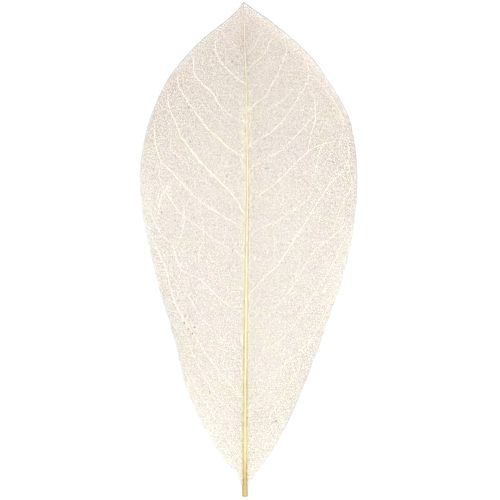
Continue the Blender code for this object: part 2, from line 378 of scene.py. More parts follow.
def blade_height(side, across, y):
    """The blade's middle surface in metres, where across is 0 at the midrib and 1 at the margin."""
    attached = 0.5 * RIB_ASPECT * column(MIDRIB, 1, 2, y) * UNIT
    phase = y * UNIT * 2 * math.pi / MARGIN_WAVE_LENGTH
    waves = 1 + np.sin(phase + MARGIN_PHASES[side])
    margin = MARGIN_HEIGHT + MARGIN_WAVE * waves
    width = np.abs(margin_x(side, y) - midrib_x(y)) / margin_x(1, TIP_RISE_START / UNIT)
    arch = ARCH_HEIGHT * width * (1 + ARCH_SWELL * np.sin(ARCH_SWELLS_PER_WAVE * phase + side))
    flat = attached * (1 - across) + margin * across
    return flat + arch * np.sin(math.pi * across**ARCH_SHAPE) + tip_rise(y)


def height_at(side, x, y):
    """The middle surface's height in millimetres at places of one half of the drawing."""
    reach = margin_x(side, y) - midrib_x(y)
    across = np.clip((x - midrib_x(y)) / np.where(np.abs(reach) < 0.05, side * 0.05, reach), 0, 1)
    return blade_height(side, across, y) / UNIT


def smooth_route(points, step):
    """Points about a step apart on a smooth curve through the given ones."""
    ends = np.array([2 * np.array(points[0]) - points[1], *points, 2 * np.array(points[-1]) - points[-2]])
    route = []
    for a, b, c, d in zip(ends, ends[1:], ends[2:], ends[3:]):
        count = max(1, round(np.linalg.norm(c - b) / step))
        for t in np.arange(count) / count:
            square = 2 * a - 5 * b + 4 * c - d
            cube = 3 * b - a - 3 * c + d
            route.append(0.5 * (2 * b + (c - a) * t + square * t**2 + cube * t**3))
    return np.array(route + [ends[-2]])


def ripples(points, count, wave_low, wave_high, draws=random):
    """A gentle random relief over places of the drawing, between about -1 and 1."""
    total = np.zeros(len(points))
    for _ in range(count):
        angle, phase = draws.uniform(0, 2 * math.pi, 2)
        wave = draws.uniform(wave_low, wave_high)
        along = points[:, 0] * math.cos(angle) + points[:, 1] * math.sin(angle)
        total += np.sin(along * 2 * math.pi / wave + phase)
    return total / math.sqrt(count)


def mesh_object(name, vertices, faces, attributes, smooth=True):
    """A mesh from vertices in millimetres and faces as index arrays, with a top view as its UV map."""
    mesh = bpy.data.meshes.new(name)
    loops = np.concatenate([np.asarray(f).ravel() for f in faces]).astype(np.int32)
    sizes = np.concatenate([np.full(len(f), np.asarray(f).shape[1]) for f in faces]).astype(np.int32)
    mesh.vertices.add(len(vertices))
    mesh.vertices.foreach_set("co", (np.asarray(vertices) * UNIT).astype(np.float32).ravel())
    mesh.loops.add(len(loops))
    mesh.loops.foreach_set("vertex_index", loops)
    mesh.polygons.add(len(sizes))
    mesh.polygons.foreach_set("loop_start", np.concatenate([[0], np.cumsum(sizes)[:-1]]).astype(np.int32))
    mesh.update(calc_edges=True)
    mesh.polygons.foreach_set("use_smooth", np.full(len(sizes), smooth))
    for key, values in attributes.items():
        mesh.attributes.new(key, "FLOAT", "POINT").data.foreach_set("value", np.asarray(values, np.float32))
    low = np.asarray(vertices)[:, :2].min(0)
    extent = (np.asarray(vertices)[:, :2].max(0) - low).max()
    uv = (np.asarray(vertices)[loops, :2] - low) / extent
    mesh.uv_layers.new(name="OFBake").data.foreach_set("uv", uv.astype(np.float32).ravel())
    made = bpy.data.objects.new(name, mesh)
    bpy.context.scene.collection.objects.link(made)
    return made


def half_border(side, step=0.03):
    """The margin and the midrib line of one half, as close points."""
    y = np.arange(BLADE_BASE, BLADE_TIP, step)
    fine = np.arange(BLADE_TIP - 3, BLADE_TIP, step / 4)
    y = np.sort(np.concatenate([y, fine]))
    return np.column_stack([margin_x(side, y), y]), np.column_stack([midrib_x(y), y])


def tree_of(points):
    tree = kdtree.KDTree(len(points))
    for n, (x, y) in enumerate(points):
        tree.insert((x, y, 0), n)
    tree.balance()
    return tree


def nearest(tree, points):
    """For each point, the index of the nearest in the tree and the distance to it."""
    found = [tree.find((x, y, 0))[1:] for x, y in points]
    return np.array([f[0] for f in found]), np.array([f[1] for f in found])


def scattered(low, high, pitch, jitter):
    """A jittered honeycomb of points over a rectangle."""
    rows = []
    for n, y in enumerate(np.arange(low[1], high[1], pitch * math.sqrt(0.75))):
        x = np.arange(low[0] + (n % 2) * pitch / 2, high[0], pitch)
        rows.append(np.column_stack([x, np.full_like(x, y)]))
    points = np.concatenate(rows)
    return points + random.uniform(-jitter, jitter, points.shape) * pitch


def net_seeds(side):
    """One seed for each mesh of the net in a half, and their mirror images across its border."""
    margin, rib = half_border(side)
    low = np.minimum(margin.min(0), rib.min(0))
    high = np.maximum(margin.max(0), rib.max(0))
    seeds = scattered(low, high, CELL_PITCH, SEED_JITTER)
    inside = (seeds[:, 0] - midrib_x(seeds[:, 1])) * side > 0
    inside &= (margin_x(side, seeds[:, 1]) - seeds[:, 0]) * side > 0
    inside &= (seeds[:, 1] > BLADE_BASE) & (seeds[:, 1] < BLADE_TIP)
    seeds = seeds[inside]
    ghosts = []
    for border in (margin, rib):
        index, distance = nearest(tree_of(border), seeds)
        keep = distance > BORDER_GAP
        seeds, index, distance = seeds[keep], index[keep], distance[keep]
        close = distance < MIRROR_REACH
        ghosts.append((seeds[close], border[index[close]]))
    mirrored = [2 * foot - seed for seed, foot in ghosts]
    return seeds, np.concatenate(mirrored)


def voronoi_cells(seeds, ghosts):
    """The net's corners, then the cells and their corners in order, as two lists of indices."""
    points = np.concatenate([seeds, ghosts])
    out = geometry.delaunay_2d_cdt([Vector(p) for p in points], [], [], 0, 1e-9)
    places, triangles, origins = np.array([tuple(v) for v in out[0]]), np.array(out[2]), out[3]
    owner = np.array([o[0] if o else -1 for o in origins])
    a, b, c = (places[triangles[:, k]] for k in range(3))
    ab, ac = b - a, c - a
    twice = 2 * (ab[:, 0] * ac[:, 1] - ab[:, 1] * ac[:, 0])
    good = np.abs(twice) > 1e-9
    triangles, a, ab, ac, twice = triangles[good], a[good], ab[good], ac[good], twice[good]
    ab2, ac2 = (ab**2).sum(1), (ac**2).sum(1)
    centre = np.column_stack([ac[:, 1] * ab2 - ab[:, 1] * ac2, ab[:, 0] * ac2 - ac[:, 0] * ab2])
    corners = a + centre / twice[:, None]
    cell = owner[triangles.ravel()]
    corner = np.repeat(np.arange(len(triangles)), 3)
    kept = (cell >= 0) & (cell < len(seeds))
    cell, corner = cell[kept], corner[kept]
    angle = np.arctan2(corners[corner, 1] - seeds[cell, 1], corners[corner, 0] - seeds[cell, 0])
    order = np.lexsort((angle, cell))
    return corners, cell[order], corner[order]


def ring_next(cell):
    """The index of the next corner round each cell, where corners of a cell follow each other."""
    first = np.flatnonzero(np.concatenate([[True], cell[1:] != cell[:-1]]))
    after = np.arange(len(cell)) + 1
    last = np.concatenate([first[1:], [len(cell)]]) - 1
    after[last] = first
    return after


def merge_short_edges(corners, cell, corner):
    """Corners that nearly meet become one, so that no face of the net is a sliver."""
    after = ring_next(cell)
    a, b = corner, corner[after]
    short = (np.linalg.norm(corners[a] - corners[b], axis=1) < SHORTEST_EDGE) & (a < b)
    group = np.arange(len(corners))

    def root(n):
        while group[n] != n:
            group[n] = group[group[n]]
            n = group[n]
        return n

    for p, q in zip(a[short], b[short]):
        group[root(p)] = root(q)
    group = np.array([root(n) for n in range(len(corners))])
    count = np.bincount(group, minlength=len(corners))
    merged = np.column_stack([np.bincount(group, corners[:, k], len(corners)) for k in (0, 1)])
    merged[count > 0] /= count[count > 0, None]
    corner = group[corner]
    distinct = corner != corner[ring_next(cell)]
    cell, corner = cell[distinct], corner[distinct]
    enough = np.bincount(cell, minlength=cell.max() + 1)[cell] >= 3
    return merged, cell[enough], corner[enough]


def edge_levels(cell, corner, after, coarse, fine):
    """How strong each edge of each cell is, 0 to 2, and which edges are on the border."""
    a, b = corner, corner[after]
    size = corner.max() + 1
    keys, back = a * size + b, b * size + a
    order = np.argsort(keys)
    slot = np.clip(np.searchsorted(keys[order], back), 0, len(keys) - 1)
    twin = order[slot]
    border = keys[twin] != back
    other = np.where(border, cell, cell[twin])
    level = np.where(coarse[cell] != coarse[other], 2, np.where(fine[cell] != fine[other], 1, 0))
    return np.where(border, 1, level), border


def relax(corners, a, b, level):
    """Draws the stronger veins straighter, then evens out the fine ones between them."""
    low, high = np.minimum(a, b), np.maximum(a, b)
    _, first = np.unique(low * (high.max() + 1) + high, return_index=True)
    low, high, level = low[first], high[first], level[first]
    for strength, rounds in ((2, 5), (1, 3), (0, 2)):
        chosen = level >= strength
        u, v = low[chosen], high[chosen]
        count = np.bincount(np.concatenate([u, v]), minlength=len(corners))
        held = np.zeros(len(corners), bool)
        if strength < 2:
            stronger = level > strength
            held[low[stronger]] = held[high[stronger]] = True
        wanted = (count == 2 if strength else count >= 3) & ~held
        for _ in range(rounds):
            total = np.column_stack([
                np.bincount(u, corners[v, k], len(corners)) + np.bincount(v, corners[u, k], len(corners))
                for k in (0, 1)
            ])
            corners[wanted] += 0.45 * (total[wanted] / count[wanted, None] - corners[wanted])
    return corners


def contrast_with_neighbours(values, a, b):
    """Each value less most of the mean of those that an edge joins it to."""
    count = np.bincount(a, minlength=len(values)) + np.bincount(b, minlength=len(values))
    total = np.bincount(a, values[b], len(values)) + np.bincount(b, values[a], len(values))
    return values - 0.5 - 0.8 * (total / count - 0.5)


def net_piece(name, side, corners, cell, corner, level, border, relief, border_distance, cell_height):
    """One closed piece of the net, whose strands have a ridge above and below and a waist between."""
    after = ring_next(cell)
    a, b = corner, corner[after]
    used, place = np.unique(np.concatenate([a, b]), return_inverse=True)
    a, b = place[:len(a)], place[len(a):]
    ridge = corners[used]
    number = np.unique(cell, return_inverse=True)[1]
    sizes = np.bincount(number)
    middle = np.column_stack([np.bincount(number, ridge[a, k]) / sizes for k in (0, 1)])[number]
    along = ridge[b] - ridge[a]
    offset = middle - ridge[a]
    apothem = np.abs(along[:, 0] * offset[:, 1] - along[:, 1] * offset[:, 0]) / np.linalg.norm(along, axis=1)
    wobble = 0.5 + 0.5 * np.sin((ridge[a] + ridge[b]) @ np.array([37.0, 91.0]))
    half_width = np.array(STRAND_HALF_WIDTHS)[level] * (0.8 + 0.4 * wobble)
    share = half_width / np.maximum(apothem, 0.01)
    before = np.empty_like(after)
    before[after] = np.arange(len(after))
    low = np.clip(1 - cell_height / LOW_HEIGHT, 0, 1) * (1 - np.exp(-border_distance / LOW_FROM_MARGIN))
    fill = (random.uniform(*CELL_FILL, len(sizes)) + LOW_FILL * low)[number]
    spur = np.where(random.uniform(size=len(a)) < SPUR_CHANCE, SPUR_REACH, 1.0)
    keep = np.clip(1 - 0.5 * fill * (share + share[before]), 0.3, 0.95) * spur
    waist = middle + (ridge[a] - middle) * keep[:, None]

    strongest = np.zeros(len(ridge), int)
    np.maximum.at(strongest, a, level)
    np.maximum.at(strongest, b, level)
    half_height = np.array(STRAND_HALF_HEIGHTS)[strongest]
    ridge_z = height_at(side, *ridge.T) + relief(ridge)
    waist_z = height_at(side, *waist.T) + relief(waist)
    vertices = np.concatenate([
        np.column_stack([ridge, ridge_z + half_height]),
        np.column_stack([ridge, ridge_z - half_height]),
        np.column_stack([waist, waist_z]),
    ])
    under, ring = len(ridge), 2 * len(ridge) + np.arange(len(a))
    top = np.column_stack([a, b, ring[after], ring])
    bottom = np.column_stack([ring, ring[after], b + under, a + under])
    wall = np.column_stack([a + under, b + under, b, a])[border]
    vein = np.concatenate([strongest, strongest, level]) / 2
    # Random tone per corner, with painted shade: the lower ridge is 0.3 darker, and the waist round each
    # hole gets a random painted shade per cell, deeper in some cells and lighter in others.
    ridge_tone = 0.5 + TONE_CONTRAST * contrast_with_neighbours(random.uniform(size=len(ridge)), a, b)
    shade = random.uniform(-0.5, 0.5, len(sizes))[number]
    waist_tone_and_shade = 0.5 + 0.9 * (ridge_tone[a] - 0.5) + 0.5 * shade
    tone = np.concatenate([ridge_tone, ridge_tone - 0.3, waist_tone_and_shade])
    # Painted shade: the rim attribute greys the net towards the margin.
    rim = np.exp(-border_distance / RIM_SHADE_WIDTH)[number]
    ridge_rim_shade = np.zeros(len(ridge))
    np.maximum.at(ridge_rim_shade, a, rim)
    rim = np.concatenate([ridge_rim_shade, ridge_rim_shade, rim])
    return mesh_object(name, vertices, [top, bottom, wall], {"vein": vein, "tone": tone, "rim": rim})


def make_net(side, word):
    """Both pieces of one half's net, the upper and the lower."""
    seeds, ghosts = net_seeds(side)
    corners, cell, corner = voronoi_cells(seeds, ghosts)
    corners, cell, corner = merge_short_edges(corners, cell, corner)
    coarse_seeds = scattered(seeds.min(0) - 4, seeds.max(0) + 4, TERTIARY_PITCH, 0.3)
    fine_seeds = scattered(seeds.min(0) - 2, seeds.max(0) + 2, QUATERNARY_PITCH, 0.33)
    fine = nearest(tree_of(fine_seeds), seeds)[0]
    coarse = nearest(tree_of(coarse_seeds), fine_seeds)[0][fine]
    level, border = edge_levels(cell, corner, ring_next(cell), coarse, fine)
    corners = relax(corners, corner, corner[ring_next(cell)], level)

    number = np.unique(cell, return_inverse=True)[1]
    sizes = np.bincount(number)
    middle = np.column_stack([np.bincount(number, corners[corner, k]) / sizes for k in (0, 1)])
    rib_half = column(MIDRIB, 1, 2, middle[:, 1])
    shown = (middle[:, 0] - midrib_x(middle[:, 1])) * side > rib_half - RIB_OVERLAP
    spread = np.zeros(len(sizes))
    np.maximum.at(spread, number, np.linalg.norm(corners[corner] - middle[number], axis=1))
    shown &= spread < WIDEST_CELL
    bumps = random.integers(1 << 30)
    margin_distance = nearest(tree_of(half_border(side, 0.1)[0]), middle)[1]
    middle_height = height_at(side, *middle.T)

    def relief(points):
        return NET_RELIEF * ripples(points, 7, 0.7, 2.6, np.random.default_rng(bumps))

    pieces = []
    for part, chosen in (("lower", middle[:, 1] < NET_SPLIT_Y), ("upper", middle[:, 1] >= NET_SPLIT_Y)):
        here = chosen & shown
        part_cell, part_corner = cell[here[number]], corner[here[number]]
        part_level, part_border = edge_levels(part_cell, part_corner, ring_next(part_cell), coarse, fine)
        pieces.append(net_piece(f"net_{word}_{part}", side, corners, part_cell, part_corner, part_level,
                                part_border, relief, margin_distance[here], middle_height[here]))
    return pieces


def ring_quads(start, rings, sides):
    """The faces between rings of points that follow each other, from the point at start on."""
    low = start + np.arange(rings - 1)[:, None] * sides
    turn = np.arange(sides)[None]
    after = (turn + 1) % sides
    quads = np.stack([low + turn, low + after, low + sides + after, low + sides + turn], -1)
    return quads.reshape(-1, 4)[:, ::-1]


def tubes(name, routes, sides=8, flatness=0.85):
    """One mesh of closed tapering tubes; each route is its places, its radii and a value for its colour."""
    vertices, quads, caps, tone = [], [], [], []
    angle = np.arange(sides) * 2 * math.pi / sides
    start = 0
    for places, radii, value in routes:
        ahead = np.gradient(places, axis=0)
        ahead /= np.linalg.norm(ahead, axis=1)[:, None]
        sideways = np.cross(ahead, (0, 0, 1))
        sideways /= np.linalg.norm(sideways, axis=1)[:, None]
        upwards = np.cross(sideways, ahead)
        ring = (
            places[:, None]
            + radii[:, None, None] * np.cos(angle)[None, :, None] * sideways[:, None]
            + flatness * radii[:, None, None] * np.sin(angle)[None, :, None] * upwards[:, None]
        )
        vertices.append(ring.reshape(-1, 3))
        tone.append(np.repeat(value, sides))
        quads.append(ring_quads(start, len(places), sides))
        caps.append(start + np.arange(sides)[None])
        caps.append(start + (len(places) - 1) * sides + np.arange(sides)[None, ::-1])
        start += len(places) * sides
    return mesh_object(name, np.concatenate(vertices), [np.concatenate(quads), np.concatenate(caps)],
                       {"vein": np.concatenate(tone)})


def vein_route(side, strength, drawn):
    """A side vein's places, radii and tone, tapering outwards with small natural bends."""
    flat = smooth_route(drawn, VEIN_STEP)
    run = np.linspace(0, 1, len(flat))
    sway = np.cumsum(random.normal(0, 1, (len(flat), 2)), axis=0)
    sway -= np.outer(1 - run, sway[0]) + np.outer(run, sway[-1])
    flat = flat + VEIN_SWAY * sway
    radii = VEIN_END_RADIUS + (VEIN_RADIUS * strength - VEIN_END_RADIUS) * (1 - run) ** VEIN_TAPER
    radii = np.maximum(radii, 0.5 * VEIN_END_RADIUS) * (1 + 0.08 * random.normal(0, 1, len(flat)))
    radii *= np.clip((1 - run) * len(flat) / 8, 0.25, 1)
    places = np.column_stack([flat, height_at(side, *flat.T)])
    shown = np.clip((np.abs(flat[:, 0] - midrib_x(flat[:, 1])) - 1.0) / VEIN_FADE, 0, 1)
    return places, radii, shown


def make_margin(side, word):
    """The thin vein that runs round the edge of a half."""
    y = BLADE_BASE + (BLADE_TIP - BLADE_BASE) * (1 - np.cos(np.linspace(0, math.pi, MARGIN_POINTS))) / 2
    x = margin_x(side, y) - side * MARGIN_RADIUS
    places = np.column_stack([x, y, height_at(side, x, y)])
    radii = MARGIN_RADIUS * (1 + 0.1 * ripples(places, 5, 0.8, 3.0))
    along = (y - BLADE_BASE) / (BLADE_TIP - BLADE_BASE)
    return tubes(f"margin_vein_{word}", [(places, radii, along)], 8, 0.8)


def make_midrib():
    """The midrib and stalk: a pale crest between low shoulders, flat below, with a ragged flared cut end."""
    y = np.concatenate([np.linspace(RIB_START, STALK_END, 36), np.linspace(STALK_END + 0.25, RIB_END, 330)])
    half = column(MIDRIB, 1, 2, y)
    crest = column(RIB_CREST, 0, 1, y) / half
    shoulder = column(RIB_CREST, 0, 2, y) / half
    centre = midrib_x(y) + 0.03 * ripples(np.column_stack([y, y]), 4, 7, 19)
    u = np.sin(np.linspace(-0.5, 0.5, RIB_SIDES) * math.pi)[::-1]
    under = np.linspace(-0.8, 0.8, FLAT_SIDES)
    across = np.abs(u)[None] * shoulder[:, None]
    near = across / crest[:, None]
    bump = np.sqrt(np.clip(1 - near**2, 0, 1))
    fibres = np.stack([ripples(np.column_stack([y, y * 0.3]), 4, 1.6, 7.0) for _ in u], 1)
    edge = np.clip((shoulder[:, None] - across) / 0.22, 0, 1)
    proud = np.interp(y, (-20, 30, 50), (0.46, 0.26, 0.20))[:, None]
    height = RIB_ASPECT * half[:, None] * (0.54 + proud * bump + 0.03 * fibres)
    top_z = height * (0.35 + 0.65 * np.sqrt(edge))
    top_x = centre[:, None] + half[:, None] * (u[None] * shoulder[:, None] + 0.03 * fibres)
    low_x = centre[:, None] + half[:, None] * under[None]
    ring_x = np.concatenate([low_x, top_x], 1)
    ring_z = np.concatenate([np.zeros_like(low_x), top_z], 1) + tip_rise(y)[:, None] / UNIT
    sides = ring_x.shape[1]
    ragged = random.uniform(-0.16, 0.12, sides)
    ring_y = np.repeat(y[:, None], sides, 1)
    ring_y[0] += ragged
    beyond = (across - crest[:, None]) / np.maximum(shoulder - crest, 0.05)[:, None]
    zone = np.where(near < 1, near, 1 + beyond)
    zone = np.concatenate([np.full_like(low_x, 2.0), np.clip(zone, 0, 2)], 1)
    vertices = np.stack([ring_x, ring_y, ring_z], -1).reshape(-1, 3)
    tip = (len(y) - 1) * sides + np.arange(sides)[None]

    hub = np.array([centre[0], 0, RIB_ASPECT * half[0] * 0.45])
    rim = vertices[:sides]
    inner = hub + (rim - hub) * (0.62, 0, 0.62) + np.array([0, CUT_LIP, 0])
    end = hub + (rim - hub) * (0.5, 0, 0.5) + np.array([0, CUT_END, 0])
    end[:, 1] += random.uniform(-0.08, 0.08, sides)
    middle = hub + np.array([0, CUT_END, 0])
    base = len(vertices)
    vertices = np.concatenate([vertices, inner, end, [middle]])
    n, after = np.arange(sides), np.roll(np.arange(sides), -1)
    lip = np.column_stack([n, base + n, base + after, after])
    collar = np.column_stack([base + n, base + sides + n, base + sides + after, base + after])
    fan = np.column_stack([base + sides + n, base + sides + after, np.full(sides, base + 2 * sides)])
    attributes = {
        "zone": np.concatenate([zone.ravel(), np.full(sides, 1.0), np.zeros(sides + 1)]),
        "along": np.concatenate([np.repeat((y + 50) / 100, sides), np.zeros(2 * sides + 1)]),
        "pith": np.concatenate([np.zeros(base), np.full(sides, 0.5), np.ones(sides + 1)]),
    }
    faces = [ring_quads(0, len(y), sides), lip[:, ::-1], collar[:, ::-1], fan, tip[:, ::-1]]
    return mesh_object("midrib", vertices, faces, attributes)


def make_rib_fibres():
    """Fine fibres that run beside the midrib and leave it gradually."""
    routes = []
    for side in (-1, 1):
        for n in range(FIBRES_PER_SIDE):
            low = random.uniform(-46, 20) if n > 1 else -46.5
            high = min(38.0, low + random.uniform(12, 34)) if n > 1 else 36.0
            y = np.arange(low, high, 0.3)
            run = np.linspace(0, 1, len(y))
            widest = np.interp(y, (-47, -20, 5, 22, 32, 40), (0.15, 0.2, 0.32, 0.52, 0.3, 0.05))
            offset = (n + 0.5) / FIBRES_PER_SIDE * widest + column(RIB_CREST, 0, 2, y) - 0.05
            offset += 0.03 * ripples(np.column_stack([y, y]), 4, 2.0, 9.0)
            x = midrib_x(y) + side * offset
            z = height_at(side, x, y) + 0.05 + 0.02 * ripples(np.column_stack([y, y]), 3, 1.5, 5.0)
            radii = FIBRE_RADIUS * (0.35 + 0.65 * np.sin(run * math.pi) ** 0.4) * random.uniform(0.7, 1.15)
            routes.append((np.column_stack([x, y, z]), radii, (y + 50) / 100))
    return tubes("rib_fibres", routes, 6, 0.8)


def make_specks():
    """Grains of dirt caught in the net."""
    shape = bmesh.new()
    bmesh.ops.create_icosphere(shape, subdivisions=2, radius=1)
    base = np.array([v.co for v in shape.verts])
    faces = np.array([[v.index for v in f.verts] for f in shape.faces])
    shape.free()
    vertices, triangles, tone = [], [], []
    for n, (x, y, size) in enumerate(SPECKS):
        side = -1 if x < midrib_x(np.array(y)) else 1
        lumps = 1 + 0.25 * np.sin(base @ random.normal(0, 2.2, (3, 3))).sum(1, keepdims=True) / 1.7
        stretch = random.uniform(0.7, 1.25, 3) * (0.5, 0.5, 0.3)
        turn = random.uniform(0, math.pi)
        grain = base * lumps * stretch * size * SPECK_SCALE
        cosine, sine = math.cos(turn), math.sin(turn)
        grain[:, :2] = grain[:, :2] @ np.array([[cosine, -sine], [sine, cosine]])
        place = np.array([x, y, height_at(side, np.array(x), np.array(y)) + 0.06 + 0.2 * size])
        vertices.append(grain + place)
        triangles.append(faces + n * len(base))
        tone.append(np.full(len(base), random.uniform()))
    attributes = {"tone": np.concatenate(tone)}
    return mesh_object("specks", np.concatenate(vertices), [np.concatenate(triangles)], attributes)


class Nodes:
    """A material's node tree, with short calls for the nodes that this leaf uses."""

    def __init__(self, name):
        self.material = bpy.data.materials.new(name)
        self.material.use_nodes = True
        self.tree = self.material.node_tree
        self.shader = self.tree.nodes["Principled BSDF"]
        self.place = self.tree.nodes.new("ShaderNodeTexCoord").outputs["Object"]

    def link(self, source, target):
        self.tree.links.new(source, target)

    def noise(self, size, detail=2.0, offset=0.0):
        """Noise whose blotches are about size metres across."""
        shift = self.tree.nodes.new("ShaderNodeMapping")
        shift.inputs["Location"].default_value = (offset, offset * 0.7, 0)
        shift.inputs["Scale"].default_value = (1 / size, 1 / size, 1 / size)
        self.link(self.place, shift.inputs["Vector"])
        node = self.tree.nodes.new("ShaderNodeTexNoise")
        node.inputs["Scale"].default_value = 1.0
        node.inputs["Detail"].default_value = detail
        self.link(shift.outputs["Vector"], node.inputs["Vector"])
        return node.outputs["Fac"]

    def span(self, value, low, high, to_low=0.0, to_high=1.0):
        node = self.tree.nodes.new("ShaderNodeMapRange")
        node.inputs["From Min"].default_value = low
        node.inputs["From Max"].default_value = high
        node.inputs["To Min"].default_value = to_low
        node.inputs["To Max"].default_value = to_high
        self.link(value, node.inputs["Value"])
        return node.outputs["Result"]

    def math(self, kind, first, second=0.0):
        node = self.tree.nodes.new("ShaderNodeMath")
        node.operation = kind
        for socket, value in zip(node.inputs, (first, second)):
            if hasattr(value, "links"):
                self.link(value, socket)
            else:
                socket.default_value = value
        return node.outputs["Value"]

    def mix(self, factor, first, second, kind="MIX"):
        node = self.tree.nodes.new("ShaderNodeMix")
        node.data_type = "RGBA"
        node.blend_type = kind
        sockets = (node.inputs["Factor"], node.inputs[6], node.inputs[7])
        for socket, value in zip(sockets, (factor, first, second)):
            if hasattr(value, "links"):
                self.link(value, socket)
            elif isinstance(value, tuple):
                socket.default_value = (*value, 1.0)
            else:
                socket.default_value = value
        return node.outputs[2]

    def ramp(self, value, stops):
        node = self.tree.nodes.new("ShaderNodeValToRGB")
        elements = node.color_ramp.elements
        while len(elements) < len(stops):
            elements.new(0.5)
        for element, (position, color) in zip(elements, stops):
            element.position = position
            element.color = (*color, 1.0)
        self.link(value, node.inputs["Fac"])
        return node.outputs["Color"]

    def attribute(self, name):
        node = self.tree.nodes.new("ShaderNodeAttribute")
        node.attribute_name = name
        return node.outputs["Fac"]

    def axis(self, name):
        node = self.tree.nodes.new("ShaderNodeSeparateXYZ")
        self.link(self.place, node.inputs["Vector"])
        return node.outputs[name]

    def finish(self, color, roughness_low, roughness_high, grain, bump):
        self.link(color, self.shader.inputs["Base Color"])
        roughness = self.span(self.noise(grain * 3), 0.3, 0.7, roughness_low, roughness_high)
        self.link(roughness, self.shader.inputs["Roughness"])
        node = self.tree.nodes.new("ShaderNodeBump")
        node.inputs["Strength"].default_value = bump
        node.inputs["Distance"].default_value = grain * 0.3
        self.link(self.noise(grain, 3.0), node.inputs["Height"])
        self.link(node.outputs["Normal"], self.shader.inputs["Normal"])
        return self.material


def net_color(nodes):
    """Bleached cream, warmer to the tip, with pink and green blotches, a pale halo by the midrib, and
    painted grey shade along the margin.
    """
    along = nodes.span(nodes.axis("Y"), -0.05, 0.05)
    color = nodes.ramp(along, [
        (0.0, (0.94, 0.89, 0.79)),
        (0.35, (0.91, 0.85, 0.77)),
        (0.62, (0.87, 0.80, 0.725)),
        (0.85, (0.79, 0.70, 0.62)),
        (1.0, (0.68, 0.58, 0.505)),
    ])
    pink = nodes.span(nodes.noise(0.0042, 2.0, 3.0), 0.46, 0.64, 0.0, 0.5)
    color = nodes.mix(pink, color, (1.0, 0.93, 0.98), "MULTIPLY")
    green = nodes.span(nodes.noise(0.0046, 2.0, 11.0), 0.48, 0.66, 0.0, 0.55)
    color = nodes.mix(green, color, (0.98, 1.0, 0.87), "MULTIPLY")
    coarse = nodes.span(nodes.noise(0.0016, 1.0, 5.0), 0.3, 0.7, 0.985, 1.015)
    color = nodes.mix(1.0, color, coarse, "MULTIPLY")
    fine = nodes.span(nodes.noise(0.00030, 1.0, 8.0), 0.3, 0.7, 0.78, 1.10)
    color = nodes.mix(1.0, color, fine, "MULTIPLY")
    middle = nodes.math("ABSOLUTE", nodes.math("ADD", nodes.axis("X"), 0.0006))
    fade = nodes.span(nodes.axis("Y"), 0.027, 0.037, 0.8, 0.0)
    halo = nodes.math("MULTIPLY", nodes.span(middle, 0.0006, 0.0017), fade)
    color = nodes.mix(nodes.math("SUBTRACT", fade, halo), color, (0.90, 0.86, 0.72))
    # Painted shade along the margin, from the rim attribute.
    rim = nodes.math("MULTIPLY", nodes.attribute("rim"), 0.5)
    return nodes.mix(rim, color, (0.82, 0.83, 0.84), "MULTIPLY")


def net_material():
    nodes = Nodes("net_fibre")
    color = net_color(nodes)
    # The tone attribute holds random tone, with painted shade on the undersides and round the holes.
    tone = nodes.span(nodes.attribute("tone"), 0.0, 1.0, 0.72, 1.18)
    color = nodes.mix(nodes.span(nodes.axis("Y"), -0.05, 0.03, 0.8, 1.0), color, tone, "MULTIPLY")
    vein = nodes.math("MULTIPLY", nodes.attribute("vein"), 0.3)
    color = nodes.mix(vein, color, (0.92, 0.87, 0.77))
    return nodes.finish(color, 0.62, 0.85, 0.00008, 0.25)


def vein_material():
    nodes = Nodes("side_vein_fibre")
    base = nodes.mix(nodes.attribute("vein"), (0.83, 0.79, 0.70), (0.91, 0.87, 0.78))
    mottle = nodes.span(nodes.noise(0.0009), 0.35, 0.65, 0.90, 1.04)
    return nodes.finish(nodes.mix(1.0, base, mottle, "MULTIPLY"), 0.5, 0.75, 0.00012, 0.3)


def fibre_material():
    nodes = Nodes("rib_side_fibre")
    base = nodes.ramp(nodes.attribute("vein"), [
        (0.0, (0.82, 0.75, 0.56)),
        (0.45, (0.82, 0.76, 0.60)),
        (0.68, (0.76, 0.70, 0.53)),
        (0.85, (0.70, 0.65, 0.52)),
    ])
    mottle = nodes.span(nodes.noise(0.0009), 0.35, 0.65, 0.86, 1.05)
    return nodes.finish(nodes.mix(1.0, base, mottle, "MULTIPLY"), 0.5, 0.75, 0.00012, 0.3)


def margin_material():
    nodes = Nodes("margin_fibre_painted_shade")
    # The fibre's colour greyed by painted shade along the edge, darkest towards the tip.
    base = nodes.ramp(nodes.attribute("vein"), [
        (0.0, (0.70, 0.68, 0.66)),
        (0.6, (0.66, 0.64, 0.61)),
        (0.85, (0.54, 0.52, 0.50)),
        (1.0, (0.38, 0.385, 0.39)),
    ])
    mottle = nodes.span(nodes.noise(0.0011), 0.35, 0.65, 0.85, 1.08)
    return nodes.finish(nodes.mix(1.0, base, mottle, "MULTIPLY"), 0.6, 0.85, 0.00012, 0.3)


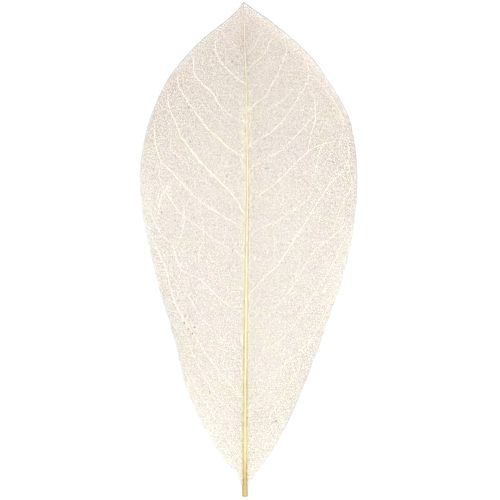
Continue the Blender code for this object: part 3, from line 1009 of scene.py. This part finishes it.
def midrib_material():
    """A straw crest between golden lines and pale shoulders, browner at the stalk, with a light pith; the
    lines are partly the rib's own colour and partly painted shade on its rounded flanks.
    """
    nodes = Nodes("midrib_fibre")
    zone, along = nodes.attribute("zone"), nodes.attribute("along")
    crest = nodes.ramp(along, [
        (0.0, (0.58, 0.43, 0.17)),
        (0.026, (0.60, 0.42, 0.165)),
        (0.055, (0.75, 0.57, 0.235)),
        (0.095, (0.76, 0.70, 0.36)),
        (0.24, (0.76, 0.72, 0.43)),
        (0.40, (0.74, 0.71, 0.49)),
        (0.56, (0.78, 0.745, 0.56)),
        (0.72, (0.78, 0.72, 0.54)),
        (0.82, (0.73, 0.69, 0.53)),
        (0.965, (0.77, 0.68, 0.60)),
    ])
    # The golden lines beside the crest: the rib's own colour, partly darkened as painted shade of its
    # rounded flanks.
    line = nodes.ramp(along, [
        (0.0, (0.42, 0.31, 0.14)),
        (0.026, (0.47, 0.34, 0.145)),
        (0.055, (0.62, 0.47, 0.20)),
        (0.095, (0.72, 0.63, 0.33)),
        (0.24, (0.71, 0.64, 0.38)),
        (0.40, (0.74, 0.70, 0.48)),
        (0.56, (0.72, 0.66, 0.50)),
        (0.72, (0.74, 0.66, 0.50)),
        (0.85, (0.66, 0.60, 0.48)),
        (1.0, (0.60, 0.52, 0.46)),
    ])
    shoulder = nodes.ramp(along, [
        (0.0, (0.50, 0.40, 0.20)),
        (0.05, (0.62, 0.48, 0.24)),
        (0.10, (0.80, 0.70, 0.46)),
        (0.24, (0.76, 0.69, 0.48)),
        (0.40, (0.80, 0.74, 0.55)),
        (0.56, (0.80, 0.74, 0.58)),
        (0.72, (0.75, 0.68, 0.53)),
        (0.85, (0.68, 0.62, 0.50)),
        (1.0, (0.60, 0.52, 0.46)),
    ])
    streak = nodes.span(nodes.noise(0.0007, 3.0), 0.35, 0.65, -0.2, 0.2)
    place = nodes.math("ADD", zone, streak)
    color = nodes.mix(nodes.span(place, 0.35, 0.95), crest, line)
    color = nodes.mix(nodes.span(place, 1.4, 2.1), color, shoulder)
    mottle = nodes.span(nodes.noise(0.0014, 3.0, 2.0), 0.35, 0.65, 0.92, 1.05)
    color = nodes.mix(1.0, color, mottle, "MULTIPLY")
    color = nodes.mix(nodes.attribute("pith"), color, (0.80, 0.76, 0.62))
    return nodes.finish(color, 0.38, 0.6, 0.00014, 0.35)


def speck_material():
    nodes = Nodes("dirt")
    base = nodes.mix(nodes.attribute("tone"), (0.16, 0.13, 0.12), (0.38, 0.33, 0.30))
    mottle = nodes.span(nodes.noise(0.0001), 0.35, 0.65, 0.7, 1.2)
    return nodes.finish(nodes.mix(1.0, base, mottle, "MULTIPLY"), 0.8, 0.95, 0.00005, 0.4)


def add_floor():
    bpy.ops.mesh.primitive_plane_add(size=6, location=(0, 0, -0.00002))
    floor = bpy.context.object
    floor.name = "floor"
    material = bpy.data.materials.new("paper_white")
    material.use_nodes = True
    shader = material.node_tree.nodes["Principled BSDF"]
    shader.inputs["Base Color"].default_value = (0.92, 0.92, 0.92, 1)
    shader.inputs["Roughness"].default_value = 0.9
    shader.inputs["Specular IOR Level"].default_value = 0.1
    floor.data.materials.append(material)


def add_light():
    """A white room and one large soft light above the upper right."""
    world = bpy.data.worlds.new("studio")
    world.use_nodes = True
    world.node_tree.nodes["Background"].inputs["Color"].default_value = (1, 1, 1, 1)
    world.node_tree.nodes["Background"].inputs["Strength"].default_value = 1.19
    bpy.context.scene.world = world
    light = bpy.data.lights.new("softbox", "AREA")
    light.size = 1.0
    light.energy = 6.4
    lamp = bpy.data.objects.new("softbox", light)
    lamp.location = LAMP_PLACE
    lamp.rotation_euler = (-Vector(LAMP_PLACE)).to_track_quat("-Z", "Y").to_euler()
    bpy.context.scene.collection.objects.link(lamp)
    bpy.context.scene.view_settings.view_transform = "Standard"


def add_camera():
    """Straight above, framed as in the photograph: 500 pixels across 101.1 mm."""
    frame_width = IMAGE_PIXELS / LEAF_PIXELS * LEAF_LENGTH
    camera = bpy.data.cameras.new("camera")
    camera.lens = 100
    camera.sensor_width = 36
    holder = bpy.data.objects.new("camera", camera)
    distance = frame_width * camera.lens / camera.sensor_width
    holder.location = (CAMERA_X, 0.0, distance + MEAN_HEIGHT)
    bpy.context.scene.collection.objects.link(holder)
    bpy.context.scene.camera = holder


def dress(piece, material):
    piece.data.materials.append(material)
    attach(piece, "root")
    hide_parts("skeleton_leaf")


def main():
    add_camera()
    fibre, vein, edge = net_material(), vein_material(), margin_material()
    for side, word, veins in ((-1, "left", LEFT_VEINS), (1, "right", RIGHT_VEINS)):
        for piece in make_net(side, word):
            dress(piece, fibre)
        routes = [vein_route(side, strength, drawn) for strength, drawn in veins]
        dress(tubes(f"side_veins_{word}", routes), vein)
        dress(make_margin(side, word), edge)
    dress(make_midrib(), midrib_material())
    dress(make_rib_fibres(), fibre_material())
    dress(make_specks(), speck_material())
    add_floor()
    add_light()


main()
